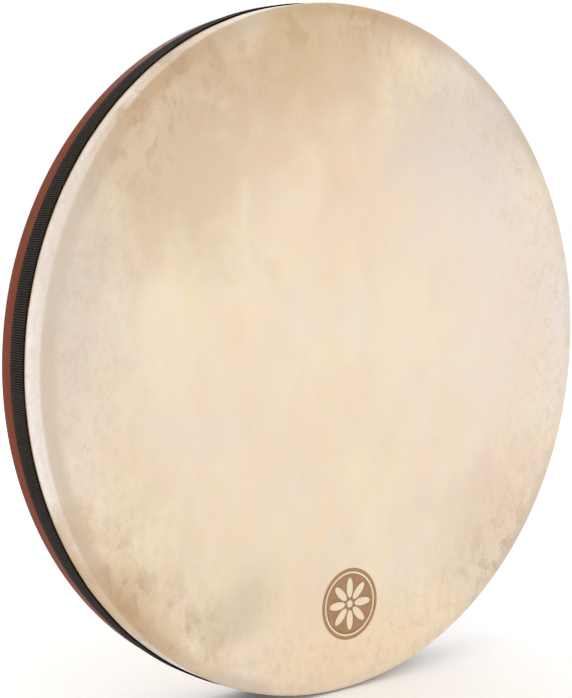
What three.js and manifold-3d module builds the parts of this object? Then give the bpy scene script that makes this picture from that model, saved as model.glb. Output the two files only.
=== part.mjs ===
// A 22 inch frame drum, standing upright on its rim with the head facing -Y. A hoop of bent wood,
// closed by one long scarf joint, carries a goat skin that is drawn over its front edge and down
// its side. A row of cut tacks holds the skin, and a woven ribbon hides the tacks and the skin's
// cut edge. A thumb hole goes through the hoop at the bottom.
//
// Millimetres, +Z up. The origin is on the ground under the middle of the drum. Inside the drum's
// group Y is the depth behind the face of the head, and Z is the height above the drum's axis.
// Angles round the rim start at the bottom of the drum and grow towards +X.

import * as THREE from "three";
import { mergeVertices } from "three/addons/utils/BufferGeometryUtils.js";
import Module from "manifold-3d";

const wasm = await Module();
wasm.setup();

// ---------------------------------------------------------------- driving dimensions

const DRUM_DEPTH = 61; // face of the head to the back of the hoop
const HOOP_RADIUS = 279; // outside of the hoop, half of 22 inches
const HOOP_WALL = 10;
const CROWN_WIDTH = 1.4; // the narrow top of the bearing edge
const SHOULDER_WIDTH = 3.2; // the front outside corner is rounded over this much of the radius
const SHOULDER_DEPTH = 5.6; // and down to this depth behind the face
const BEARING_BEVEL = 6.5; // 45 degree bevel from the crown to the inside of the hoop
const REAR_ROUND = 2.2; // round on both back edges of the hoop

const SKIN_THICKNESS = 0.7;
const SKIN_SIDE_DEPTH = 40; // how far the skin is drawn down the side

const RIBBON_FRONT = 24.2; // depth of the ribbon's front edge
const RIBBON_WIDTH = 20.5;
const RIBBON_THICKNESS = 1.1;
const RIBBON_END_GAP = 32; // the ribbon's two ends stop on either side of the thumb hole

const TACK_COUNT = 40;
const TACK_LINE_DEPTH = 34.4; // the row runs along the middle of the ribbon
const TACK_HEAD_RADIUS = 3.2;
const TACK_HEAD_RIM = 0.3;
const TACK_HEAD_HEIGHT = 0.55; // at the middle of the low dome
const TACK_SHANK_SIDE = 1.5; // square under the head, tapering to a point
const TACK_LENGTH = 8.5;
const TACK_HEAD_SIDES = 10;

const THUMB_HOLE_RADIUS = 12;
const THUMB_HOLE_DEPTH = 34.4; // depth of the hole's centre behind the face
const THUMB_HOLE_CHAMFER = 1.5;
const SKIN_CUT_BACK = 3; // the skin is trimmed this far clear of the hole

const SCARF_ANGLE = 62; // middle of the joint, degrees from the bottom
const SCARF_SPAN = 24; // degrees that the two tapered ends lap over

const GAP = 0.3; // between pieces that touch
const SEGMENTS = 120; // facets round the drum
const ROUND_STEPS = 2; // each quarter round has twice as many facets

const FACET = (2 * Math.PI) / SEGMENTS;
const FLAT_OF_FACET = Math.cos(FACET / 2); // distance to the middle of a facet over that to its ends
const HOOP_INNER_RADIUS = HOOP_RADIUS - HOOP_WALL;
const CROWN_RADIUS = HOOP_RADIUS - SHOULDER_WIDTH;
const CROWN_DEPTH = SKIN_THICKNESS + GAP;
const SKIN_INNER_RADIUS = HOOP_RADIUS + GAP;
const SKIN_RADIUS = SKIN_INNER_RADIUS + SKIN_THICKNESS;
const RIBBON_INNER_RADIUS = SKIN_RADIUS + GAP;
const RIBBON_RADIUS = RIBBON_INNER_RADIUS + RIBBON_THICKNESS;
const AXIS_HEIGHT = RIBBON_RADIUS * Math.cos(FACET); // the drum stands on the ribbon's two ends

// ---------------------------------------------------------------- materials

const wood = () => new THREE.MeshStandardMaterial({ color: 0x824932, roughness: 0.42, metalness: 0 });
const skin = () => new THREE.MeshStandardMaterial({ color: 0xead6bc, roughness: 0.6, metalness: 0 });
const ribbon = () => new THREE.MeshStandardMaterial({ color: 0x3a3632, roughness: 0.85, metalness: 0 });
const steel = () => new THREE.MeshStandardMaterial({ color: 0x3b3f46, roughness: 0.4, metalness: 0.9 });

// ---------------------------------------------------------------- helpers

// A solid for joining and cutting, from a closed geometry. Where a turned outline meets the axis,
// its facets shrink to lines, which are left out.
function solid(geometry) {
  geometry.deleteAttribute("normal");
  geometry.deleteAttribute("uv");
  const merged = mergeVertices(geometry);
  const corners = [];
  for (let first = 0; first < merged.index.count; first += 3) {
    const [a, b, c] = merged.index.array.slice(first, first + 3);
    if (a !== b && b !== c && c !== a) corners.push(a, b, c);
  }
  return new wasm.Manifold(new wasm.Mesh({
    numProp: 3,
    vertProperties: new Float32Array(merged.attributes.position.array),
    triVerts: new Uint32Array(corners),
  }));
}

// The named piece made from a finished solid.
function piece(name, body, material) {
  const mesh = body.getMesh();
  const geometry = new THREE.BufferGeometry();
  geometry.setAttribute("position", new THREE.BufferAttribute(new Float32Array(mesh.vertProperties), 3));
  geometry.setIndex(new THREE.BufferAttribute(new Uint32Array(mesh.triVerts), 1));
  geometry.computeVertexNormals();
  const made = new THREE.Mesh(geometry, material);
  made.name = name;
  return made;
}

// A closed outline of radius and depth, turned round the drum's axis.
function turned(outline, segments = SEGMENTS) {
  return solid(new THREE.LatheGeometry(outline.getPoints(ROUND_STEPS), segments));
}

// The place on the rim at an angle: X runs along the rim, Y out of the drum and Z to the back.
function onRim(angle, depth, radius) {
  const outward = new THREE.Vector3(Math.sin(angle), 0, -Math.cos(angle));
  const along = new THREE.Vector3(Math.cos(angle), 0, Math.sin(angle));
  const back = new THREE.Vector3(0, 1, 0);
  return new THREE.Matrix4()
    .makeBasis(along, outward, back)
    .setPosition(outward.multiplyScalar(radius).addScaledVector(back, depth));
}

// One solid from copies of a small geometry, one at each tack.
function atEveryTack(geometry, radius) {
  const copies = tackAngles().map((angle) =>
    solid(geometry.clone().applyMatrix4(onRim(angle, TACK_LINE_DEPTH, radius))));
  return copies.reduce((all, one) => all.add(one));
}

// The tacks are evenly spaced, with one on each side of the thumb hole.
function tackAngles() {
  const spacing = (2 * Math.PI) / TACK_COUNT;
  return Array.from({ length: TACK_COUNT }, (_, index) => (index + 0.5) * spacing);
}

// ---------------------------------------------------------------- the hoop

// Section of the hoop: a rounded shoulder outside, a narrow crown that carries the skin, a bevel
// down to the inside so that nothing but the crown touches the skin, and softened back edges.
function hoopSection() {
  const section = new THREE.Path();
  section.moveTo(HOOP_RADIUS, SHOULDER_DEPTH);
  section.lineTo(HOOP_RADIUS, DRUM_DEPTH - REAR_ROUND);
  section.absarc(HOOP_RADIUS - REAR_ROUND, DRUM_DEPTH - REAR_ROUND, REAR_ROUND, 0, Math.PI / 2);
  section.absarc(HOOP_INNER_RADIUS + REAR_ROUND, DRUM_DEPTH - REAR_ROUND, REAR_ROUND,
    Math.PI / 2, Math.PI);
  const bevelRun = CROWN_RADIUS - CROWN_WIDTH - HOOP_INNER_RADIUS;
  section.lineTo(HOOP_INNER_RADIUS, CROWN_DEPTH + BEARING_BEVEL);
  section.lineTo(HOOP_INNER_RADIUS + bevelRun, CROWN_DEPTH + BEARING_BEVEL - bevelRun);
  section.lineTo(CROWN_RADIUS, CROWN_DEPTH);
  section.absellipse(CROWN_RADIUS, SHOULDER_DEPTH, SHOULDER_WIDTH, SHOULDER_DEPTH - CROWN_DEPTH,
    -Math.PI / 2, 0);
  return section;
}

// The joint's glue line: a thin slit that spirals out through the wall, so that each end of the
// wood tapers over the other, from the back of the hoop to its front edge.
function scarfSlit() {
  const steps = 12;
  const overrun = 0.6; // past each side of the wall
  const middle = THREE.MathUtils.degToRad(SCARF_ANGLE);
  const span = THREE.MathUtils.degToRad(SCARF_SPAN);
  const edge = (side) => Array.from({ length: steps + 1 }, (_, step) => {
    const share = step / steps;
    const angle = middle + (share - 0.5) * span;
    const radius = HOOP_INNER_RADIUS - overrun + share * (HOOP_WALL + 2 * overrun) + (side * GAP) / 2;
    return new THREE.Vector2(radius * Math.sin(angle), radius * Math.cos(angle));
  });
  const slit = new THREE.Shape([...edge(1), ...edge(-1).reverse()]);
  const geometry = new THREE.ExtrudeGeometry(slit, { depth: DRUM_DEPTH + 2, bevelEnabled: false });
  return solid(geometry.rotateX(-Math.PI / 2).translate(0, -1, 0));
}

// The thumb hole with its softened edges, as the shape that is cut away.
function thumbHole() {
  const reach = 4; // how far the cutter runs past each side of the wall
  const flare = THUMB_HOLE_RADIUS + THUMB_HOLE_CHAMFER + reach;
  const outline = new THREE.Path();
  outline.moveTo(0, HOOP_INNER_RADIUS - reach);
  outline.lineTo(flare, HOOP_INNER_RADIUS - reach);
  outline.lineTo(THUMB_HOLE_RADIUS, HOOP_INNER_RADIUS + THUMB_HOLE_CHAMFER);
  outline.lineTo(THUMB_HOLE_RADIUS, HOOP_RADIUS - THUMB_HOLE_CHAMFER);
  outline.lineTo(flare, HOOP_RADIUS + reach);
  outline.lineTo(0, HOOP_RADIUS + reach);
  const geometry = new THREE.LatheGeometry(outline.getPoints(), 32);
  return solid(geometry.applyMatrix4(onRim(0, THUMB_HOLE_DEPTH, 0)));
}

function hoop() {
  const body = turned(hoopSection())
    .subtract(scarfSlit())
    .subtract(thumbHole())
    .subtract(atEveryTack(tackShank(GAP), SKIN_RADIUS * FLAT_OF_FACET + GAP));
  return piece("hoop", body, wood());
}

// ---------------------------------------------------------------- the skin

// Section of the skin: flat across the drum, over the shoulder and down the side.
function skinSection() {
  const across = SHOULDER_WIDTH + GAP; // the inside of the shoulder, then the outside
  const down = SHOULDER_DEPTH - SKIN_THICKNESS;
  const section = new THREE.Path();
  section.moveTo(0, 0);
  section.lineTo(CROWN_RADIUS, 0);
  section.absellipse(CROWN_RADIUS, SHOULDER_DEPTH, across + SKIN_THICKNESS, SHOULDER_DEPTH,
    -Math.PI / 2, 0);
  section.lineTo(SKIN_RADIUS, SKIN_SIDE_DEPTH);
  section.lineTo(SKIN_INNER_RADIUS, SKIN_SIDE_DEPTH);
  section.absellipse(CROWN_RADIUS, SHOULDER_DEPTH, across, down, 0, -Math.PI / 2, true);
  section.lineTo(0, SKIN_THICKNESS);
  return section;
}

function skinHead() {
  const radius = THUMB_HOLE_RADIUS + SKIN_CUT_BACK;
  const length = 20;
  const notch = new THREE.CylinderGeometry(radius, radius, length, 32);
  const body = turned(skinSection())
    .subtract(solid(notch.applyMatrix4(onRim(0, THUMB_HOLE_DEPTH, HOOP_RADIUS))))
    .subtract(atEveryTack(tackShank(GAP), SKIN_RADIUS * FLAT_OF_FACET + GAP));
  return piece("skin_head", body, skin());
}

// ---------------------------------------------------------------- the tacks

// A square shank that tapers to a point, from the underside of the head. The tack's own Y axis
// points out of the drum, and its zero is the underside of the head.
function tackShank(clearance) {
  const halfDiagonal = (TACK_SHANK_SIDE / 2 + clearance) * Math.SQRT2;
  const length = TACK_LENGTH + 2 * clearance;
  const intoHead = 0.1;
  return new THREE.ConeGeometry(halfDiagonal, length + intoHead, 4)
    .rotateX(Math.PI)
    .rotateY(Math.PI / 4)
    .translate(0, (intoHead - length) / 2, 0);
}

function tackHead() {
  const outline = new THREE.Path();
  outline.moveTo(0, 0);
  outline.lineTo(TACK_HEAD_RADIUS, 0);
  outline.lineTo(TACK_HEAD_RADIUS, TACK_HEAD_RIM);
  outline.lineTo(0, TACK_HEAD_HEIGHT);
  return new THREE.LatheGeometry(outline.getPoints(), TACK_HEAD_SIDES);
}

function tacks() {
  const body = solid(tackHead()).add(solid(tackShank(0)));
  return tackAngles().map((angle, index) => {
    const tack = piece(`tack_${String(index + 1).padStart(2, "0")}`, body, steel());
    tack.applyMatrix4(onRim(angle, TACK_LINE_DEPTH, SKIN_RADIUS * FLAT_OF_FACET + GAP));
    return tack;
  });
}

// ---------------------------------------------------------------- the ribbon

// Section of the ribbon: it lies on the skin, and past the skin's cut edge it steps down to the wood.
function ribbonSection() {
  const rear = RIBBON_FRONT + RIBBON_WIDTH;
  const step = SKIN_THICKNESS; // the drop from the skin to the wood
  const section = new THREE.Path();
  section.moveTo(RIBBON_RADIUS, RIBBON_FRONT);
  section.lineTo(RIBBON_RADIUS, SKIN_SIDE_DEPTH + RIBBON_THICKNESS);
  section.lineTo(RIBBON_RADIUS - step, SKIN_SIDE_DEPTH + RIBBON_THICKNESS + step);
  section.lineTo(RIBBON_RADIUS - step, rear);
  section.lineTo(RIBBON_INNER_RADIUS - step, rear);
  section.lineTo(RIBBON_INNER_RADIUS - step, SKIN_SIDE_DEPTH + GAP + step);
  section.lineTo(RIBBON_INNER_RADIUS, SKIN_SIDE_DEPTH + GAP);
  section.lineTo(RIBBON_INNER_RADIUS, RIBBON_FRONT);
  section.lineTo(RIBBON_RADIUS, RIBBON_FRONT);
  return section;
}

// The ribbon gives way over each tack head, as a round hollow on its inside.
function tackHollow() {
  const height = GAP + TACK_HEAD_HEIGHT + GAP;
  const radius = TACK_HEAD_RADIUS + GAP;
  return new THREE.CylinderGeometry(radius, radius, height, TACK_HEAD_SIDES)
    .translate(0, height / 2, 0);
}

function trimRibbon() {
  const reach = 20; // well past both sides of the ribbon
  const ends = new THREE.BoxGeometry(RIBBON_END_GAP, reach, 2 * RIBBON_WIDTH)
    .applyMatrix4(onRim(0, THUMB_HOLE_DEPTH, RIBBON_RADIUS));
  const body = turned(ribbonSection())
    .subtract(solid(ends))
    .subtract(atEveryTack(tackHollow(), SKIN_RADIUS * FLAT_OF_FACET));
  return piece("trim_ribbon", body, ribbon());
}

// ---------------------------------------------------------------- the drum

const drum = new THREE.Group();
drum.add(hoop(), skinHead(), trimRibbon(), ...tacks());
drum.position.set(0, -DRUM_DEPTH / 2, AXIS_HEIGHT);

const model = new THREE.Group();
model.add(drum);

export default model;
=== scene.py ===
# %% [markdown]
# # A 22 inch frame drum
#
# The drum is a hoop of bent wood with a goat skin stretched over its front edge. A row of tacks
# holds the skin, and a woven ribbon hides the tacks. It stands upright on its rim: the head faces
# -Y, the open back faces +Y and the thumb hole is at the bottom.
#
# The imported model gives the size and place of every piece. The pieces made here stand exactly
# where it says, with rounder curves and with real surfaces.

# %% Load the frame
import math

import bmesh
import bpy
from mathutils import Matrix, Vector, noise


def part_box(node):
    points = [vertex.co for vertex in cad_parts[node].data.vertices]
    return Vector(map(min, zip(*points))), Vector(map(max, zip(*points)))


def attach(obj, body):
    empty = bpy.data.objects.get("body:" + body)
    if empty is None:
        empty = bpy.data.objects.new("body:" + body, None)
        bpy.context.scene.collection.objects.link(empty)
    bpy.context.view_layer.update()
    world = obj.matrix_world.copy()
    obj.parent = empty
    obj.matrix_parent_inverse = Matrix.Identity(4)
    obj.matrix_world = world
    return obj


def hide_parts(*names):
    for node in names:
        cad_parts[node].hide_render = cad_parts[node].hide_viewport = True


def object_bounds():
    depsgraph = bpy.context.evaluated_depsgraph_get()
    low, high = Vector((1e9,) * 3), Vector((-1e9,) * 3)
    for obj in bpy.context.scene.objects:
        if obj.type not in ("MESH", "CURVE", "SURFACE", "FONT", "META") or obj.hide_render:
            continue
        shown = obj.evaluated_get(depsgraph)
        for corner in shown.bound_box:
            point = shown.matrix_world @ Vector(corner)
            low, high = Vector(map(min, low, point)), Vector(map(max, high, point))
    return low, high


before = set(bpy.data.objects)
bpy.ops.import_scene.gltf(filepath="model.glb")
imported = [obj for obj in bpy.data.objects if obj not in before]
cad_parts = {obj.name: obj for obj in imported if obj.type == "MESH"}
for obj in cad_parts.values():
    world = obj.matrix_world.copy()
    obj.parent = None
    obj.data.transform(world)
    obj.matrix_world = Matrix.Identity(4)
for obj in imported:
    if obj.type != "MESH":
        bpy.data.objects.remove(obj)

cad_low, cad_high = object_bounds()
print("frame:", len(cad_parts), "nodes, box", tuple(cad_low), tuple(cad_high))

# %% [markdown]
# ## Measures
#
# Everything round is turned about one axis, which runs along Y through the middle of the drum. So
# a point is told by three numbers: its radius from that axis, its depth behind the face of the
# head, and its angle round the rim, from the bottom of the drum towards +X. The radii, the depth
# and the axis come from the frame's boxes. The few sizes that no box tells, such as the wall of the
# hoop, are written here in millimetres.

# %% Measures of the drum
MM = 0.001
hoop_low, hoop_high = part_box("hoop")
skin_low, skin_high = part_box("skin_head")
ribbon_low, ribbon_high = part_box("trim_ribbon")

AXIS_Z = (hoop_low.z + hoop_high.z) / 2
FACE_Y = skin_low.y
DEPTH = (hoop_high.y - FACE_Y) / MM
HOOP_RADIUS = (hoop_high.x - hoop_low.x) / 2 / MM
SKIN_RADIUS = (skin_high.x - skin_low.x) / 2 / MM
SKIN_DEPTH = (skin_high.y - FACE_Y) / MM
RIBBON_RADIUS = (ribbon_high.x - ribbon_low.x) / 2 / MM
RIBBON_FRONT = (ribbon_low.y - FACE_Y) / MM
RIBBON_REAR = (ribbon_high.y - FACE_Y) / MM

WALL = 10
CROWN_WIDTH = 1.4
SHOULDER_WIDTH = 3.2
SHOULDER_DEPTH = 5.6
BEVEL_DEPTH = 6.5
REAR_ROUND = 2.2
SKIN_THICKNESS = 0.7
CROWN_RADIUS = HOOP_RADIUS - SHOULDER_WIDTH
CROWN_DEPTH = 1.0
INNER_RADIUS = HOOP_RADIUS - WALL

HOLE_RADIUS = 12
HOLE_DEPTH = 34.4
TACK_COUNT = 40
TACK_LINE = HOLE_DEPTH
print(f"hoop {2 * HOOP_RADIUS:.1f} mm across and {DEPTH:.1f} mm deep, axis at {AXIS_Z:.4f} m")


def at(radius, depth, angle=0.0):
    """The point at a radius and depth in millimetres and an angle in radians."""
    return Vector((radius * MM * math.sin(angle), FACE_Y + depth * MM,
                   AXIS_Z - radius * MM * math.cos(angle)))


def where(point):
    """The radius and depth in millimetres and the angle in radians of a point."""
    across, up = point.x, AXIS_Z - point.z
    return (math.hypot(across, up) / MM, (point.y - FACE_Y) / MM,
            math.atan2(across, up) % (2 * math.pi))


# %% [markdown]
# ## Camera, floor and light
#
# The camera stands in front of the drum and well to its left, a little above the middle, and looks
# slightly down with a long lens, so the round head reads as a narrow upright oval and the left side
# of the rim shows. The floor is one large pale plane at the height that the drum stands on.
#
# The light is even and comes from all round, as in a white tent, with three large soft boxes that
# give it a direction.

# %% Camera
EYE_FROM_HEAD = Vector((-0.8556, -0.9758, 0.1365))
AIM_FROM_HEAD = Vector((-0.060, 0, 0.008))
head_centre = at(0, 0)
camera_data = bpy.data.cameras.new("camera")
camera_data.lens = 83.035
camera_data.sensor_width = 36
camera = bpy.data.objects.new("camera", camera_data)
bpy.context.scene.collection.objects.link(camera)
camera.location = head_centre + EYE_FROM_HEAD
view_line = head_centre + AIM_FROM_HEAD - camera.location
camera.rotation_euler = view_line.to_track_quat("-Z", "Y").to_euler()
bpy.context.scene.camera = camera
print("camera at", tuple(round(value, 4) for value in camera.location))

# %% Floor
FLOOR_HALF = 12
floor_mesh = bpy.data.meshes.new("floor")
shape = bmesh.new()
bmesh.ops.create_grid(shape, x_segments=2, y_segments=2, size=FLOOR_HALF)
bmesh.ops.translate(shape, verts=shape.verts, vec=(0, 0, cad_low.z))
shape.to_mesh(floor_mesh)
shape.free()
floor = bpy.data.objects.new("floor", floor_mesh)
bpy.context.scene.collection.objects.link(floor)
print("floor:", 2 * FLOOR_HALF, "m square at height", round(cad_low.z, 4))


# %% Light
def softbox(name, place, size, power, tint):
    """A square area light that looks at the middle of the drum."""
    data = bpy.data.lights.new(name, "AREA")
    data.shape = "SQUARE"
    data.size = size
    data.energy = power
    data.color = tint
    lamp = bpy.data.objects.new(name, data)
    bpy.context.scene.collection.objects.link(lamp)
    lamp.location = place
    lamp.rotation_euler = (head_centre - lamp.location).to_track_quat("-Z", "Y").to_euler()
    return lamp


softbox("front_light", Vector((-0.6, -3.4, 1.9)), 2.2, 10, (1.0, 0.99, 0.97))
softbox("rim_light", Vector((-2.1, 2.3, 1.1)), 2.6, 16, (1.0, 0.99, 1.0))
softbox("back_light", Vector((1.9, 2.9, 2.1)), 2.2, 22, (1.0, 1.0, 1.0))

world = bpy.data.worlds.new("studio")
bpy.context.scene.world = world
world.use_nodes = True
sky = world.node_tree.nodes["Background"]
sky.inputs["Color"].default_value = (1, 1, 1, 1)
sky.inputs["Strength"].default_value = 1.03
bpy.context.scene.view_settings.view_transform = "Standard"

# %% [markdown]
# ## Small tools for materials
#
# A material is a tree of nodes. `Recipe` is a short way to write one down: `add` makes a node, sets
# its options and fills its inputs with a value or with another node's output. `mix`, `span` and
# `math` name the three steps that every finish uses.


# %% Material tools
# how bright the light makes a white surface, where 1 is the white of the screen
LIGHT_LEVEL = 1.1


def seen(red, green, blue):
    """The linear colour of a surface that shows, under this light, as a screen colour 0 to 255."""
    def linear(value):
        share = value / 255
        return share / 12.92 if share <= 0.04045 else ((share + 0.055) / 1.055) ** 2.4
    return tuple(linear(value) / LIGHT_LEVEL for value in (red, green, blue)) + (1,)


class Recipe:
    """The nodes of one material or node group."""

    def __init__(self, tree):
        self.tree = tree

    def add(self, kind, inputs=None, **options):
        node = self.tree.nodes.new("ShaderNode" + kind)
        for option, value in options.items():
            setattr(node, option, value)
        for socket, value in (inputs or {}).items():
            self.fill(node.inputs[socket], value)
        return node

    def fill(self, socket, value):
        if isinstance(value, bpy.types.NodeSocket):
            self.tree.links.new(value, socket)
        else:
            socket.default_value = value

    def math(self, operation, first, second=0.0, third=0.0, clamp=False):
        node = self.add("Math", {0: first, 1: second, 2: third}, operation=operation,
                        use_clamp=clamp)
        return node.outputs[0]

    def mix(self, share, first, second, blend="MIX"):
        node = self.add("Mix", data_type="RGBA", blend_type=blend)
        for socket, value in ((0, share), (6, first), (7, second)):
            self.fill(node.inputs[socket], value)
        return node.outputs[2]

    def span(self, value, low, high, to_low=0.0, to_high=1.0, smooth=True):
        """Maps low..high to to_low..to_high, held at both ends."""
        node = self.add("MapRange", {0: value, 1: low, 2: high, 3: to_low, 4: to_high},
                        interpolation_type="SMOOTHSTEP" if smooth else "LINEAR")
        return node.outputs[0]

    def noise(self, vector, scale, detail=4.0, rough=0.5, warp=0.0):
        node = self.add("TexNoise", {"Vector": vector, "Scale": scale, "Detail": detail,
                                     "Roughness": rough, "Distortion": warp})
        return node.outputs[0]

    def moved(self, vector, shift=(0, 0, 0), scale=(1, 1, 1)):
        node = self.add("Mapping", {"Vector": vector, "Location": shift, "Scale": scale})
        return node.outputs[0]


def group(name, inputs, outputs):
    """An empty node group with named sockets; returns it with its recipe, its input and output."""
    made = bpy.data.node_groups.new(name, "ShaderNodeTree")
    for socket, kind, value in inputs:
        item = made.interface.new_socket(socket, in_out="INPUT", socket_type="NodeSocket" + kind)
        if value is not None:
            item.default_value = value
    for socket, kind in outputs:
        made.interface.new_socket(socket, in_out="OUTPUT", socket_type="NodeSocket" + kind)
    source = made.nodes.new("NodeGroupInput")
    result = made.nodes.new("NodeGroupOutput")
    return made, Recipe(made), source.outputs, result


def use(recipe, made, **values):
    """Puts a node group into a recipe. Socket names are written with _ for a space."""
    node = recipe.tree.nodes.new("ShaderNodeGroup")
    node.node_tree = made
    for socket, value in values.items():
        recipe.fill(node.inputs[socket.replace("_", " ")], value)
    return node.outputs


def material(name):
    """A new material with its recipe and its Principled shader."""
    made = bpy.data.materials.new(name)
    made.use_nodes = True
    return made, Recipe(made.node_tree), made.node_tree.nodes["Principled BSDF"]


# %% [markdown]
# ## Two effects that are used again and again
#
# Each is a node group, built once. `soft patch` is a round cloud with a ragged edge, and every stain
# in the skin is one of them with its own place and size. `fine fibre` is a noise pulled long in one
# direction, for the grain of the wood and the threads of the ribbon.

# %% Shared effects
SOFT_PATCH, nodes, given, result = group(
    "soft patch",
    [("Vector", "Vector", None), ("Cloud", "Float", 0.5), ("Centre", "Vector", (0, 0, 0)),
     ("Size", "Vector", (1, 1, 1)), ("Ragged", "Float", 3.0)],
    [("Mask", "Float")])
away = nodes.add("VectorMath", {0: given["Vector"], 1: given["Centre"]}, operation="SUBTRACT")
scaled = nodes.add("VectorMath", {0: away.outputs[0], 1: given["Size"]}, operation="DIVIDE")
reach = nodes.add("VectorMath", {0: scaled.outputs[0]}, operation="LENGTH").outputs["Value"]
edge = nodes.math("MULTIPLY", nodes.math("SUBTRACT", given["Cloud"], 0.5), given["Ragged"])
nodes.fill(result.inputs["Mask"], nodes.span(nodes.math("ADD", reach, edge), 1.35, 0.1))

FINE_FIBRE, nodes, given, result = group(
    "fine fibre",
    [("Vector", "Vector", None), ("Stretch", "Vector", (1, 60, 60)), ("Scale", "Float", 20.0),
     ("Waver", "Float", 0.3)],
    [("Value", "Float")])
pulled = nodes.add("VectorMath", {0: given["Vector"], 1: given["Stretch"]}, operation="MULTIPLY")
coarse = nodes.noise(pulled.outputs[0], given["Scale"], 3, 0.55, given["Waver"])
fine = nodes.noise(pulled.outputs[0], nodes.math("MULTIPLY", given["Scale"], 4.1), 4, 0.6, 0.1)
both = nodes.math("ADD", nodes.math("MULTIPLY", coarse, 0.62), nodes.math("MULTIPLY", fine, 0.38))
nodes.fill(result.inputs["Value"], both)
print("shared effects:", SOFT_PATCH.name, "and", FINE_FIBRE.name)

# %% [markdown]
# ## Small tools for shapes
#
# Every round piece starts as its section, a closed outline of radius and depth, and `turned` sweeps
# it round the drum's axis. `arc` gives the round stretches of a section. Holes are cut with a
# Boolean modifier that is applied at once, so that the finished mesh is all there is.


# %% Shape tools
def arc(centre, radii, start, end, steps):
    """Points on part of an ellipse in the section, from one angle to another in degrees."""
    angles = [math.radians(start + (end - start) * step / steps) for step in range(steps + 1)]
    return [(centre[0] + radii[0] * math.cos(a), centre[1] + radii[1] * math.sin(a))
            for a in angles]


def line(start, end, steps):
    """Points between two points of the section, without either of them."""
    return [tuple(a + (b - a) * step / steps for a, b in zip(start, end))
            for step in range(1, steps)]


def turned(section, steps, start=0.0, sweep=360.0, closed=True):
    """A section of (radius, depth) turned round the drum's axis, as a bmesh: a grid with one row
    for each point of the section, wrapped round the rim."""
    outline = section + section[:1] if closed else section
    rows = len(outline) - 1
    shape = bmesh.new()
    bmesh.ops.create_grid(shape, x_segments=steps, y_segments=rows, size=1)
    for vert in shape.verts:
        radius, depth = outline[round((vert.co.y + 1) / 2 * rows)]
        vert.co = at(radius, depth, math.radians(start + sweep * (vert.co.x + 1) / 2))
    bmesh.ops.remove_doubles(shape, verts=shape.verts, dist=1e-6)
    open_ends = [edge for edge in shape.edges if edge.is_boundary]
    bmesh.ops.holes_fill(shape, edges=open_ends, sides=0)
    bmesh.ops.recalc_face_normals(shape, faces=shape.faces)
    return shape


def piece(name, shape, finish, smooth=35.0):
    """An object in the scene made from a bmesh, smooth but for edges sharper than an angle."""
    mesh = bpy.data.meshes.new(name)
    shape.to_mesh(mesh)
    shape.free()
    made = bpy.data.objects.new(name, mesh)
    bpy.context.scene.collection.objects.link(made)
    if finish:
        mesh.materials.append(finish)
        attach(made, "root")
    mesh.shade_smooth()
    mesh.set_sharp_from_angle(angle=math.radians(smooth))
    print(f"{name}: {len(mesh.polygons)} faces")
    return made


def cut(body, cutter_shape):
    """Cuts a bmesh out of an object, and keeps only the result."""
    cutter = piece("cutter", cutter_shape, None)
    modifier = body.modifiers.new("cut", "BOOLEAN")
    modifier.operation, modifier.solver, modifier.object = "DIFFERENCE", "EXACT", cutter
    done = bpy.data.meshes.new_from_object(
        body.evaluated_get(bpy.context.evaluated_depsgraph_get()))
    body.modifiers.clear()
    body.data = done
    bpy.data.objects.remove(cutter)
    return body


def keep_points(made, name, kind, field_name, measure):
    """Keeps a number or vector for every point of a mesh, for its material to read."""
    kept = made.data.attributes.new(name, kind, "POINT")
    values = [measure(vert.co) for vert in made.data.vertices]
    if kind == "FLOAT_VECTOR":
        values = [number for value in values for number in value]
    kept.data.foreach_set(field_name, values)


def through_rim(section, steps=64):
    """A section of (distance from the hole's axis, distance from the drum's axis) turned round
    the axis of the thumb hole."""
    shape = bmesh.new()
    y = FACE_Y + HOLE_DEPTH * MM
    verts = [shape.verts.new((away * MM, y, AXIS_Z - out * MM)) for away, out in section]
    edges = [shape.edges.new(pair) for pair in zip(verts, verts[1:])]
    bmesh.ops.spin(shape, geom=verts + edges, cent=(0, y, 0), axis=(0, 0, 1), dvec=(0, 0, 0),
                   angle=2 * math.pi, steps=steps, use_merge=True)
    bmesh.ops.remove_doubles(shape, verts=shape.verts, dist=1e-6)
    bmesh.ops.recalc_face_normals(shape, faces=shape.faces)
    return shape


# %% [markdown]
# ## The hoop
#
# The real hoop is one strip of hardwood, steamed and bent, and its two ends are planed to long
# tapers that lap over each other and are glued. The same thing can be done here: the section is
# turned almost all the way round, and then every point is slid round the rim by an amount that
# grows with its radius. That leans the two square ends over into the long slant of a scarf joint,
# with a glue line as thin as a hair between them, and the strip's own straight coordinates go with
# it, so the grain breaks at the joint as it does on a real one.

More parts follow.
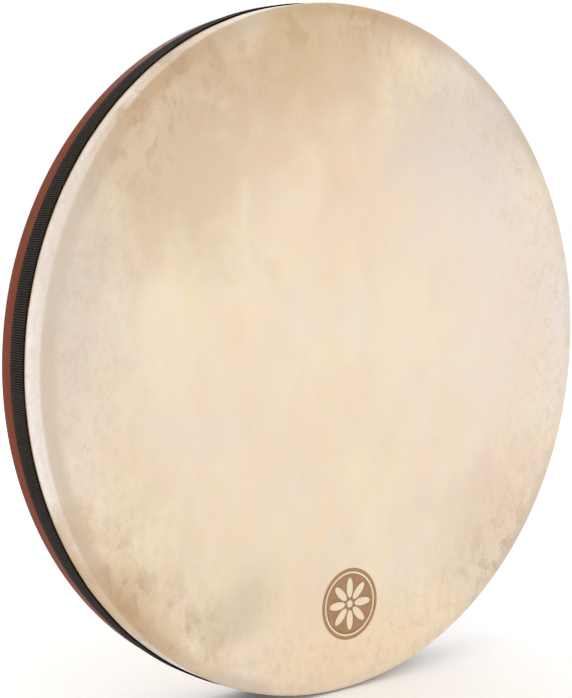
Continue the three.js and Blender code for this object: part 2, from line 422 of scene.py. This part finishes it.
# %% Section of the hoop
REAR_STEPS = 8
bevel_run = CROWN_RADIUS - CROWN_WIDTH - INNER_RADIUS
bevel_foot = (INNER_RADIUS, CROWN_DEPTH + BEVEL_DEPTH)
bevel_top = (INNER_RADIUS + bevel_run, CROWN_DEPTH + BEVEL_DEPTH - bevel_run)
outer_rear = (HOOP_RADIUS - REAR_ROUND, DEPTH - REAR_ROUND)
inner_rear = (INNER_RADIUS + REAR_ROUND, DEPTH - REAR_ROUND)
hoop_section = (
    arc((CROWN_RADIUS, SHOULDER_DEPTH), (SHOULDER_WIDTH, SHOULDER_DEPTH - CROWN_DEPTH), -90, 0, 8)
    + line((HOOP_RADIUS, SHOULDER_DEPTH), (HOOP_RADIUS, DEPTH - REAR_ROUND), 8)
    + arc(outer_rear, (REAR_ROUND, REAR_ROUND), 0, 90, REAR_STEPS)
    + line((outer_rear[0], DEPTH), (inner_rear[0], DEPTH), 6)
    + arc(inner_rear, (REAR_ROUND, REAR_ROUND), 90, 180, REAR_STEPS)
    + line((INNER_RADIUS, DEPTH - REAR_ROUND), bevel_foot, 8)
    + [bevel_foot] + line(bevel_foot, bevel_top, 8) + [bevel_top]
)
print("hoop section:", len(hoop_section), "points")

# %% Strip bent round and scarfed
# the joint's middle and its span round the rim, and the width of the glue line
SCARF_MIDDLE = math.radians(62)
SCARF_SPAN = math.radians(24)
GLUE_LINE = math.radians(0.035)
HOOP_STEPS = 720
middle_radius = (HOOP_RADIUS + INNER_RADIUS) / 2


def lean(radius):
    """How far round the rim a point of that radius is slid."""
    return SCARF_SPAN * (radius - middle_radius) / WALL


strip = turned(hoop_section, HOOP_STEPS, math.degrees(SCARF_MIDDLE),
               360 - math.degrees(GLUE_LINE))
for vert in strip.verts:
    radius, depth, angle = where(vert.co)
    vert.co = at(radius, depth, angle + lean(radius))
print("scarf joint:", round(SCARF_SPAN * middle_radius), "mm long")

# %% [markdown]
# The thumb hole is bored through the bottom of the hoop and its edges are rounded over by hand, so
# the cutter is a spool: straight in the middle, and flaring in a quarter round at each face.

# %% Thumb hole in the hoop
HOLE_ROUND = 2.2
flare = HOLE_RADIUS + HOLE_ROUND
hole_inside = INNER_RADIUS - 0.6
hole_outside = HOOP_RADIUS + 0.05
hole_section = (
    [(0, hole_inside - 4), (flare + 2, hole_inside - 4), (flare + 2, hole_inside)]
    + arc((flare, hole_inside + HOLE_ROUND), (HOLE_ROUND, HOLE_ROUND), 270, 180, 6)
    + arc((flare, hole_outside - HOLE_ROUND), (HOLE_ROUND, HOLE_ROUND), 180, 90, 6)
    + [(flare + 2, hole_outside), (flare + 2, hole_outside + 4), (0, hole_outside + 4)]
)
print("thumb hole:", 2 * HOLE_RADIUS, "mm across, opening out to", round(2 * flare, 1))

# %% [markdown]
# ## Wood
#
# Reddish brown stain over straight-grained hardwood, with a thin satin lacquer. A bent strip keeps
# its grain along its length, so the pattern must follow the strip round the drum and not cut
# through it. Each point therefore carries its place in the straight strip: along, across and
# through. Long streaks, fine fibre and short dark pores are all drawn in those coordinates. The
# rounded back edges are darker, and the lacquer there is a little thinner and duller.

# %% Wood finish
wood, nodes, shader = material("stained_hardwood")
along = nodes.add("Attribute", attribute_name="strip").outputs["Vector"]
streak = nodes.noise(nodes.moved(along, scale=(1.6, 70, 70)), 1.0, 5, 0.6, 0.6)
fibre = use(nodes, FINE_FIBRE, Vector=along, Stretch=(1, 46, 46), Scale=26.0, Waver=0.25)["Value"]
pore_field = nodes.noise(nodes.moved(along, scale=(70, 1500, 1500)), 1.0, 2, 0.5, 0)
pores = nodes.span(pore_field, 0.64, 0.74)
colour = nodes.mix(nodes.span(streak, 0.36, 0.64), seen(142, 64, 25), seen(118, 50, 19))
colour = nodes.mix(nodes.math("MULTIPLY", nodes.span(fibre, 0.42, 0.62), 0.4), colour, seen(99, 41, 16))
colour = nodes.mix(nodes.math("MULTIPLY", pores, 0.5), colour, seen(60, 30, 22))
rounded_edge = nodes.add("Attribute", attribute_name="edge").outputs["Fac"]
# the rounded back edges are darker
colour = nodes.mix(nodes.math("MULTIPLY", rounded_edge, 0.4), colour, seen(98, 48, 38))
nodes.fill(shader.inputs["Base Color"], colour)
gloss = nodes.math("ADD", nodes.math("MULTIPLY", fibre, 0.22), 0.3)
gloss = nodes.math("ADD", gloss, nodes.math("MULTIPLY", rounded_edge, 0.1))
nodes.fill(shader.inputs["Roughness"], gloss)
shader.inputs["Specular IOR Level"].default_value = 0.06
relief = nodes.math("SUBTRACT", nodes.math("MULTIPLY", fibre, 0.5), nodes.math("MULTIPLY", pores, 0.6))
bump = nodes.add("Bump", {"Strength": 0.35, "Distance": 0.00012, "Height": relief})
nodes.fill(shader.inputs["Normal"], bump.outputs[0])

# %% Hoop
hoop = piece("bent_hoop", strip, wood)
cut(hoop, through_rim(hole_section))
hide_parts("hoop")


def strip_place(point):
    """The place in the straight strip of a point on the bent one."""
    radius, depth, angle = where(point)
    turn = (angle - lean(radius) - SCARF_MIDDLE) % (2 * math.pi)
    if turn > 2 * math.pi - GLUE_LINE / 2:
        turn -= 2 * math.pi
    return Vector((turn * HOOP_RADIUS, depth, radius)) * MM


def edge_share(point):
    """1 on the rounded back edges of the hoop and 0 on its faces."""
    radius, depth, _ = where(point)
    from_back = depth - (DEPTH - REAR_ROUND)
    from_side = abs(radius - middle_radius) - (WALL / 2 - REAR_ROUND)
    rounded = min(from_back, from_side) / REAR_ROUND
    return max(0.0, min(1.0, 3.4 * rounded))


keep_points(hoop, "strip", "FLOAT_VECTOR", "vector", strip_place)
keep_points(hoop, "edge", "FLOAT", "value", edge_share)
print("hoop strip is", round(2 * math.pi * HOOP_RADIUS), "mm long")

# %% [markdown]
# ## The goat skin
#
# A wet skin is pulled over the crown of the hoop and down its side, and it shrinks tight as it
# dries. Its shape is simple, flat across the drum and rounded over the shoulder, so it is turned
# like the hoop, with rings across the head. Near the shoulder and down the side the pull of the
# tacks leaves faint puckers, which are made by moving the points a little.

# %% Section of the skin
SKIN_STEPS = 480
inside = SHOULDER_WIDTH + 0.3
head_rings = (40, 90, 140, 185, 220, 245, 260, 268, 272)
outer_shoulder = arc((CROWN_RADIUS, SHOULDER_DEPTH), (inside + SKIN_THICKNESS, SHOULDER_DEPTH),
                     -90, 0, 12)
inner_shoulder = arc((CROWN_RADIUS, SHOULDER_DEPTH), (inside, SHOULDER_DEPTH - SKIN_THICKNESS),
                     0, -90, 8)
skin_inner = SKIN_RADIUS - SKIN_THICKNESS
skin_section = (
    [(0, 0)] + [(radius, 0) for radius in head_rings]
    + outer_shoulder
    + line((SKIN_RADIUS, SHOULDER_DEPTH), (SKIN_RADIUS, SKIN_DEPTH), 14)
    + [(SKIN_RADIUS, SKIN_DEPTH), (skin_inner, SKIN_DEPTH)]
    + line((skin_inner, SKIN_DEPTH), (skin_inner, SHOULDER_DEPTH), 6)
    + inner_shoulder
    + [(radius, SKIN_THICKNESS) for radius in reversed(head_rings)]
    + [(0, SKIN_THICKNESS)]
)
print("skin section:", len(skin_section), "points")

# %% Puckers down the side
PUCKER = 0.16
skin_shape = turned(skin_section, SKIN_STEPS, closed=False)
for vert in skin_shape.verts:
    radius, depth, angle = where(vert.co)
    on_side = max(0.0, min(1.0, (depth - 1.0) / 6)) if radius > SKIN_RADIUS - 0.35 else 0.0
    if on_side:
        pull = math.cos(angle * TACK_COUNT)
        ripple = noise.noise(Vector((math.sin(angle) * 14, math.cos(angle) * 14, depth * 0.03)))
        vert.co = at(radius + on_side * PUCKER * (0.35 * pull + ripple - 0.75), depth, angle)
print("puckers in", len(skin_shape.verts), "points of skin")

# %% [markdown]
# ## Skin finish
#
# Natural goat skin is cream with a warm cast and is never even: it has wide soft clouds, tan and
# grey stains that gather towards the edge of the hide, and patches where the hair roots show as
# small dots. The clouds, the stains and one painted highlight along the right rim are soft patches
# with places given one by one. Painted shade darkens a ring of skin where it bends over the crown,
# and the side is painted a paler lavender-white, as a painted highlight. The flesh side, seen from
# the back, is drier and duller, with faint veins.

# %% Places of the stains and of one painted highlight
# middle across and up from the drum's centre, half sizes in millimetres, colour, strength
STAINS_AND_HIGHLIGHT = [
    ((-46, 236), (160, 74), seen(207, 181, 143), 0.8),
    ((-52, 216), (34, 84), seen(208, 178, 128), 0.4),
    ((62, 266), (84, 28), seen(198, 170, 142), 0.65),
    ((-150, 222), (90, 50), seen(200, 170, 134), 0.6),
    ((-176, 150), (110, 90), seen(209, 187, 155), 0.7),
    ((-90, 176), (120, 70), seen(214, 189, 160), 0.5),
    ((10, 140), (130, 90), seen(234, 208, 183), 0.55),
    ((136, 196), (110, 80), seen(216, 202, 190), 0.65),
    ((196, 196), (60, 60), seen(204, 191, 180), 0.55),
    ((190, 60), (130, 170), seen(236, 222, 213), 0.6),
    # painted highlight: a pale lavender-white band down the right rim
    ((268, 20), (26, 120), seen(234, 223, 220), 0.6),
    ((-250, 40), (50, 120), seen(216, 202, 188), 0.65),
    ((-205, -56), (74, 52), seen(230, 208, 186), 0.5),
    ((-184, -158), (104, 80), seen(225, 207, 176), 0.4),
    ((-236, -194), (70, 62), seen(202, 170, 128), 0.8),
    ((-262, -164), (36, 66), seen(204, 172, 134), 0.75),
    ((-112, -196), (36, 32), seen(200, 188, 160), 0.5),
    ((176, -168), (86, 60), seen(224, 202, 180), 0.65),
    ((206, -112), (50, 34), seen(226, 202, 180), 0.4),
    ((20, -250), (130, 40), seen(246, 219, 183), 0.6),
]
print(len(STAINS_AND_HIGHLIGHT), "stains")

# %% Goat skin, its colour
goat_skin, nodes, shader = material("goat_hide")
place = nodes.moved(nodes.add("TexCoord").outputs["Object"], shift=(0, -FACE_Y, -AXIS_Z))
parts = nodes.add("SeparateXYZ", {0: place}).outputs
flat_place = nodes.add("CombineXYZ", {"X": parts["X"], "Y": 0.0, "Z": parts["Z"]}).outputs[0]
from_axis = nodes.add("VectorMath", {0: flat_place}, operation="LENGTH").outputs["Value"]
depth = parts["Y"]
unrolled = nodes.add("VectorMath", {0: flat_place, "Scale": nodes.math(
    "MULTIPLY_ADD", nodes.math("MAXIMUM", depth, 0.0), 1 / (SKIN_RADIUS * MM), 1.0)},
    operation="SCALE").outputs[0]
hide = nodes.moved(unrolled, scale=(1.0, 1.0, 0.72))


def field(shift, scale, low, high, detail=5.0):
    """A cloudy mask, stretched a little up and down the hide."""
    shifted = nodes.moved(hide, shift=shift)
    return nodes.span(nodes.noise(shifted, scale, detail, 0.58, 0.4), low, high)


colour = nodes.mix(field((0, 0, 0), 8.0, 0.4, 0.62), seen(240, 224, 198), seen(237, 218, 193))
colour = nodes.mix(nodes.math("MULTIPLY", field((3, 0, 1), 17.0, 0.5, 0.68), 0.55), colour,
               seen(236, 222, 208))
colour = nodes.mix(nodes.math("MULTIPLY", field((5, 0, 4), 21.0, 0.52, 0.7), 0.4), colour,
               seen(240, 218, 180))
colour = nodes.mix(nodes.math("MULTIPLY", field((8, 0, 2), 26.0, 0.5, 0.68), 0.35), colour,
               seen(238, 211, 186))
# painted highlight: the side of the skin is painted paler and lavender-white, most towards the ribbon
side = nodes.span(depth, 0.0028, 0.0064)
side_highlight_colour = nodes.mix(nodes.span(depth, 0.012, 0.022), seen(235, 223, 215), seen(246, 235, 232))
colour = nodes.mix(nodes.math("MULTIPLY", side, 0.9), colour, side_highlight_colour)
for scale, share in ((20.0, 0.15), (62.0, 0.13)):
    hues = nodes.add("TexNoise", {"Vector": hide, "Scale": scale, "Detail": 4.0,
                              "Distortion": 0.6}).outputs["Color"]
    colour = nodes.mix(share, colour, hues, "SOFT_LIGHT")
ragged = nodes.noise(hide, 16.0, 6, 0.58, 0.5)


def patch_mask(middle, half):
    """The mask of one soft patch, from its middle and half sizes in millimetres."""
    return use(nodes, SOFT_PATCH, Vector=unrolled, Cloud=ragged, Ragged=2.3,
               Centre=(middle[0] * MM, 0, middle[1] * MM),
               Size=(half[0] * MM, 1, half[1] * MM))["Mask"]


for middle, half, patch_colour, strength in STAINS_AND_HIGHLIGHT:
    mask = patch_mask(middle, half)
    colour = nodes.mix(nodes.math("MULTIPLY", mask, strength), colour, patch_colour)

# %% [markdown]
# Where the hide is thin towards its edge, the hair roots show as clusters of small dots. They are
# cells of a Voronoi pattern, seen only near the rim and only in patches. Brown grime gathers in the
# tanned parts. A ring of painted shade darkens the bend over the crown, less at the right and the
# bottom, and the last millimetre of skin beside the ribbon has yellowed with glue.

# %% Goat skin, its small marks
near_rim = nodes.span(from_axis, 0.16, 0.27)
patches = nodes.span(nodes.noise(flat_place, 34.0, 4, 0.6, 0.6), 0.47, 0.62)
root_cells = nodes.add("TexVoronoi", {"Vector": hide, "Scale": 520.0, "Randomness": 0.95})
roots = nodes.span(root_cells.outputs["Distance"], 0.5, 0.1)
roots = nodes.math("MULTIPLY", nodes.math("MULTIPLY", roots, near_rim), patches)
colour = nodes.mix(nodes.math("MULTIPLY", roots, 0.26), colour, seen(172, 142, 116))
mottle = nodes.math("MULTIPLY", nodes.span(nodes.noise(hide, 120.0, 5, 0.65, 0.5), 0.46, 0.64), near_rim)
colour = nodes.mix(nodes.math("MULTIPLY", mottle, 0.19), colour, seen(190, 166, 138))
grime = nodes.span(nodes.noise(hide, 52.0, 6, 0.66, 0.7), 0.5, 0.62)
tanned = 0.0
for middle, half in (((-172, 204), (108, 84)), ((-212, -184), (104, 88)), ((10, 276), (130, 40))):
    tanned = nodes.math("MAXIMUM", patch_mask(middle, half), tanned)
# painted shade: a darker ring where the skin bends over the crown, browner where the skin is tanned
bend_shade = nodes.math("MULTIPLY", nodes.span(from_axis, 0.264, 0.2745), nodes.span(depth, 0.006, 0.0026))
bend_shade = nodes.math("MULTIPLY", bend_shade, nodes.span(ragged, 0.3, 0.6, 0.55, 1.0))
grime = nodes.math("MULTIPLY", nodes.math("MULTIPLY", grime, nodes.span(from_axis, 0.2, 0.272)),
               nodes.math("MAXIMUM", tanned, patch_mask((190, -176), (80, 80))))
colour = nodes.mix(nodes.math("MULTIPLY", grime, 0.46), colour, seen(176, 144, 110))
# two patches, at the right and at the bottom, where the painted shade on the bend is weaker
weaker_bend_shade = nodes.math("MAXIMUM", patch_mask((270, 0), (150, 190)), patch_mask((40, -270), (150, 80)))
bend_shade = nodes.math("MULTIPLY", bend_shade, nodes.span(weaker_bend_shade, 0.0, 0.7, 1.0, 0.25))
bend_shade_colour = nodes.mix(tanned, seen(204, 187, 168), seen(192, 158, 120))
colour = nodes.mix(nodes.math("MULTIPLY", bend_shade, 0.7), colour, bend_shade_colour)
glued = nodes.span(depth, (RIBBON_FRONT - 0.4) * MM, (RIBBON_FRONT + 0.4) * MM)
colour = nodes.mix(nodes.math("MULTIPLY", glued, 0.9), colour, seen(241, 208, 146))
flesh = nodes.add("Attribute", attribute_name="flesh").outputs["Fac"]
contour = nodes.noise(nodes.moved(flat_place, shift=(2, 0, 5), scale=(1, 1, 0.75)), 6.5, 3, 0.5, 1.2)
veins = nodes.span(nodes.math("ABSOLUTE", nodes.math("SUBTRACT", contour, 0.5)), 0.012, 0.0)
vein = nodes.math("MULTIPLY", veins, nodes.span(ragged, 0.44, 0.62))
flesh_colour = nodes.mix(nodes.span(ragged, 0.38, 0.64), seen(226, 205, 174), seen(214, 188, 152))
flesh_colour = nodes.mix(nodes.math("MULTIPLY", vein, 0.35), flesh_colour, seen(184, 148, 112))
colour = nodes.mix(flesh, colour, flesh_colour)
nodes.fill(shader.inputs["Base Color"], colour)

# %% [markdown]
# The grain side is smooth and slightly waxy, with pores that only just catch the light. The flesh
# side has been shaved, so it is matt, with a faint nap.

# %% Goat skin, its surface
waxy = nodes.math("ADD", nodes.math("MULTIPLY", ragged, 0.3), 0.36)
nodes.fill(shader.inputs["Roughness"], nodes.math("ADD", waxy, nodes.math("MULTIPLY", flesh, 0.3)))
shader.inputs["Specular IOR Level"].default_value = 0.35
pore = nodes.noise(place, 900.0, 3, 0.6, 0)
swell = nodes.noise(place, 150.0, 5, 0.6, 0.4)
relief = nodes.math("ADD", nodes.math("MULTIPLY", pore, 0.4), nodes.math("MULTIPLY", swell, 0.6))
relief = nodes.math("SUBTRACT", relief, nodes.math("MULTIPLY", roots, 0.5))
bump = nodes.add("Bump", {"Strength": 0.3, "Distance": 0.0002, "Height": relief})
nodes.fill(shader.inputs["Normal"], bump.outputs[0])
shader.inputs["Subsurface Weight"].default_value = 0.1
shader.inputs["Subsurface Radius"].default_value = (1.0, 0.6, 0.4)
shader.inputs["Subsurface Scale"].default_value = 0.002

# %% Skin
# the skin is trimmed well clear of the thumb hole
SKIN_HOLE_RADIUS = HOLE_RADIUS + 3
skin = piece("goat_skin_head", skin_shape, goat_skin)
cut(skin, through_rim([(0, INNER_RADIUS), (SKIN_HOLE_RADIUS, INNER_RADIUS),
                       (SKIN_HOLE_RADIUS, HOOP_RADIUS + 6), (0, HOOP_RADIUS + 6)]))
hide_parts("skin_head")


def flesh_share(point):
    """1 on the side of the skin that faces the wood and the back of the drum, and 0 outside."""
    radius, depth, _ = where(point)
    across = max(0.0, radius - CROWN_RADIUS) / (inside + SKIN_THICKNESS / 2)
    ahead = max(0.0, SHOULDER_DEPTH - depth) / (SHOULDER_DEPTH - SKIN_THICKNESS / 2)
    return 1.0 if math.hypot(across, ahead) < 1 else 0.0


keep_points(skin, "flesh", "FLOAT", "value", flesh_share)

# %% [markdown]
# ## The ribbon
#
# Grosgrain ribbon: thick weft threads run across it and stand up as ribs, and fine warp threads
# wrap over them along its length. The ribs are real relief, so they are part of the mesh: the
# ribbon's section is turned in four short steps to each rib, and the points on the outside rise and
# fall with it. It lies on the skin, steps down to the wood past the skin's cut edge, and swells
# very slightly over each tack.

# %% Section of the ribbon
# END_GAP is the distance from the middle of the thumb hole to each end of the ribbon
RIB_PITCH = 1.85
RIB_HEIGHT = 0.24
RIB_STEPS = 4
TACK_SWELL = 0.12
END_GAP = 16
ribbon_base = SKIN_RADIUS + 0.1
ribbon_face = RIBBON_RADIUS - RIB_HEIGHT - TACK_SWELL
skin_step = 0.6
ribbon_edge = RIBBON_FRONT + 0.9
ribbon_section = (
    [(ribbon_base, ribbon_edge + 0.15), (ribbon_face - 0.25, ribbon_edge)]
    + [(ribbon_face, ribbon_edge + 0.3)]
    + line((ribbon_face, ribbon_edge + 0.3), (ribbon_face, SKIN_DEPTH - 0.4), 6)
    + [(ribbon_face, SKIN_DEPTH - 0.4), (ribbon_face - skin_step, SKIN_DEPTH + 1.6)]
    + [(ribbon_face - skin_step, RIBBON_REAR - 0.3), (ribbon_face - skin_step - 0.25, RIBBON_REAR)]
    + [(ribbon_base - skin_step, RIBBON_REAR - 0.15)]
    + [(ribbon_base - skin_step, SKIN_DEPTH + 1.2), (ribbon_base, SKIN_DEPTH + 0.2)]
    + line((ribbon_base, SKIN_DEPTH + 0.2), (ribbon_base, ribbon_edge + 0.15), 3)
)
end_angle = math.degrees(math.asin(END_GAP / RIBBON_RADIUS))
sweep = 360 - 2 * end_angle
rib_count = round(math.radians(sweep) * RIBBON_RADIUS / RIB_PITCH)
print("ribbon section:", len(ribbon_section), "points,", rib_count, "ribs")

# %% Ribs
def tack_swell(depth, angle):
    """How far the nearest tack pushes the ribbon out, in millimetres."""
    tack_turn = (angle * TACK_COUNT / (2 * math.pi)) % 1 - 0.5
    off_tack = math.hypot(tack_turn * 2 * math.pi * HOOP_RADIUS / TACK_COUNT, depth - TACK_LINE)
    return TACK_SWELL * math.exp(-(off_tack / 4.0) ** 2)


ribbon_shape = turned(ribbon_section, rib_count * RIB_STEPS, end_angle, sweep)
for vert in ribbon_shape.verts:
    radius, depth, angle = where(vert.co)
    outside = ribbon_face - 0.3 if depth < SKIN_DEPTH else ribbon_face - skin_step - 0.3
    if radius < outside:
        continue
    turn = (angle - math.radians(end_angle)) / math.radians(sweep) * rib_count
    swell = abs(math.sin(math.pi * turn)) ** 0.8
    selvedge = min(depth - ribbon_edge, RIBBON_REAR - depth) / 0.3
    rise = RIB_HEIGHT * swell * min(1, max(0, selvedge)) + tack_swell(depth, angle)
    vert.co = at(radius + rise, depth, angle)
print("ribs in", len(ribbon_shape.verts), "points of ribbon")

# %% [markdown]
# ## Ribbon finish
#
# Black rayon that has gone slightly brown. Painted shade makes it nearly black in the grooves, and
# a painted highlight makes it dull and a little lighter on the crown of each rib. The warp threads
# are drawn in the ribbon's own coordinates, along and across.

# %% Ribbon finish
ribbon_weave, nodes, shader = material("black_grosgrain")
laid = nodes.add("Attribute", attribute_name="laid").outputs["Vector"]
threads = use(nodes, FINE_FIBRE, Vector=laid, Stretch=(1, 30, 1), Scale=110.0, Waver=0.1)["Value"]
rise = nodes.add("Attribute", attribute_name="rise").outputs["Fac"]
fade = nodes.noise(laid, 30.0, 4, 0.6, 0.3)
colour = nodes.mix(nodes.span(threads, 0.35, 0.65), seen(34, 31, 28), seen(88, 80, 74))
# painted shade makes the grooves between the ribs nearly black, and a painted highlight leaves the
# crowns lighter
colour = nodes.mix(nodes.span(rise, 0.64, 1.0, 0.05, 1.0), seen(15, 13, 11), colour)
colour = nodes.mix(nodes.math("MULTIPLY", nodes.span(fade, 0.42, 0.7), 0.25), colour, seen(62, 53, 47))
nodes.fill(shader.inputs["Base Color"], colour)
nodes.fill(shader.inputs["Roughness"], nodes.span(threads, 0.3, 0.7, 0.7, 0.5))
shader.inputs["Specular IOR Level"].default_value = 0.02
bump = nodes.add("Bump", {"Strength": 0.5, "Distance": 0.00015, "Height": threads})
nodes.fill(shader.inputs["Normal"], bump.outputs[0])

# %% Ribbon
ribbon = piece("grosgrain_ribbon", ribbon_shape, ribbon_weave, smooth=60)
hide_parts("trim_ribbon")


def laid_place(point):
    """The place along and across the ribbon of a point on it."""
    _, depth, angle = where(point)
    return Vector((angle * RIBBON_RADIUS, depth, 0)) * MM


def rib_share(point):
    """0 in the groove between two ribs and 1 on the crown of a rib."""
    radius, depth, angle = where(point)
    base = ribbon_face if depth < SKIN_DEPTH else ribbon_face - skin_step
    return max(0.0, min(1.0, (radius - base - tack_swell(depth, angle)) / RIB_HEIGHT))


keep_points(ribbon, "laid", "FLOAT_VECTOR", "vector", laid_place)
keep_points(ribbon, "rise", "FLOAT", "value", rib_share)

# %% [markdown]
# ## The tacks
#
# Forty blued cut tacks sit under the ribbon. Their shape in the frame is right as it is, so they
# only get their finish: dark blue-grey oxide, rubbed brighter in places.

# %% Blued steel
blued_steel, nodes, shader = material("blued_steel")
place = nodes.add("TexCoord").outputs["Object"]
oxide = nodes.noise(place, 900.0, 4, 0.6, 0.3)
nodes.fill(shader.inputs["Base Color"],
       nodes.mix(nodes.span(oxide, 0.4, 0.65), seen(52, 58, 70), seen(96, 98, 104)))
nodes.fill(shader.inputs["Roughness"], nodes.span(oxide, 0.3, 0.7, 0.3, 0.5))
shader.inputs["Metallic"].default_value = 1.0
tack_names = [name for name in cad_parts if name.startswith("tack_")]
for name in tack_names:
    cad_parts[name].data.materials.clear()
    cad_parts[name].data.materials.append(blued_steel)
print(len(tack_names), "tacks in blued steel")

# %% [markdown]
# ## The printed mark
#
# A round stamp in brown ink sits near the bottom of the head. It carries a plain flower of eight
# petals inside a thin ring. The ink is a film that really lies on the skin: a disc with the flower
# and the ring cut out of it, so the skin shows through and the edges stay crisp at any distance.

# %% Ink film
MARK_MIDDLE = (8, -208)
MARK_RADIUS = 30
RING = (25.4, 27.0)
PETALS = 8
FILM = 0.06
to_mark = Matrix.Translation((MARK_MIDDLE[0] * MM, FACE_Y - FILM / 2 * MM,
                              AXIS_Z + MARK_MIDDLE[1] * MM))


def add_disc(shape, radius, thickness, matrix, segments=96):
    """Adds a flat round disc in the plane of the head, moved and shaped by a matrix."""
    facing = Matrix.Rotation(math.pi / 2, 4, "X")
    bmesh.ops.create_cone(shape, cap_ends=True, segments=segments, radius1=radius * MM,
                          radius2=radius * MM, depth=thickness * MM, matrix=matrix @ facing)


ink, nodes, shader = material("brown_ink")
place = nodes.add("TexCoord").outputs["Object"]
patchy = nodes.noise(place, 320.0, 5, 0.65, 0.2)
nodes.fill(shader.inputs["Base Color"],
       nodes.mix(nodes.span(patchy, 0.35, 0.7), seen(170, 131, 92), seen(180, 143, 103)))
nodes.fill(shader.inputs["Roughness"], nodes.span(patchy, 0.3, 0.7, 0.45, 0.6))
shader.inputs["Specular IOR Level"].default_value = 0.25

film = bmesh.new()
add_disc(film, MARK_RADIUS, FILM, to_mark, 160)
mark = piece("printed_mark", film, ink)
flower = turned([(RING[0], -1), (RING[1], -1), (RING[1], 1), (RING[0], 1)], 128)
bmesh.ops.translate(flower, verts=flower.verts,
                    vec=(MARK_MIDDLE[0] * MM, 0, MARK_MIDDLE[1] * MM))
for petal in range(PETALS):
    turn = Matrix.Rotation(2 * math.pi * petal / PETALS, 4, "Y")
    out = Matrix.Translation((0, 0, 13.6 * MM))
    narrow = Matrix.Diagonal((0.4, 1, 1, 1))
    add_disc(flower, 8.4, 2, to_mark @ turn @ out @ narrow)
add_disc(flower, 3.0, 2, to_mark)
cut(mark, flower)
print("mark:", 2 * MARK_RADIUS, "mm across with", PETALS, "petals")

# %% [markdown]
# ## The two sheets
#
# The skin and the ribbon are sheets. The skin was a disc 640 mm across before it was stretched
# over the hoop, and the ribbon a strip a little shorter than the way round the drum.

# %% [markdown]
# ## The floor's finish
#
# Matt white card, so that the drum stands in an even white space and its shadow stays faint.

# %% Floor finish
pale, nodes, shader = material("pale_floor")
grain = nodes.noise(nodes.add("TexCoord").outputs["Object"], 3.0, 4, 0.5, 0)
nodes.fill(shader.inputs["Base Color"],
       nodes.mix(grain, (0.97, 0.97, 0.97, 1), (0.99, 0.99, 0.99, 1)))
shader.inputs["Roughness"].default_value = 0.8
floor.data.materials.append(pale)
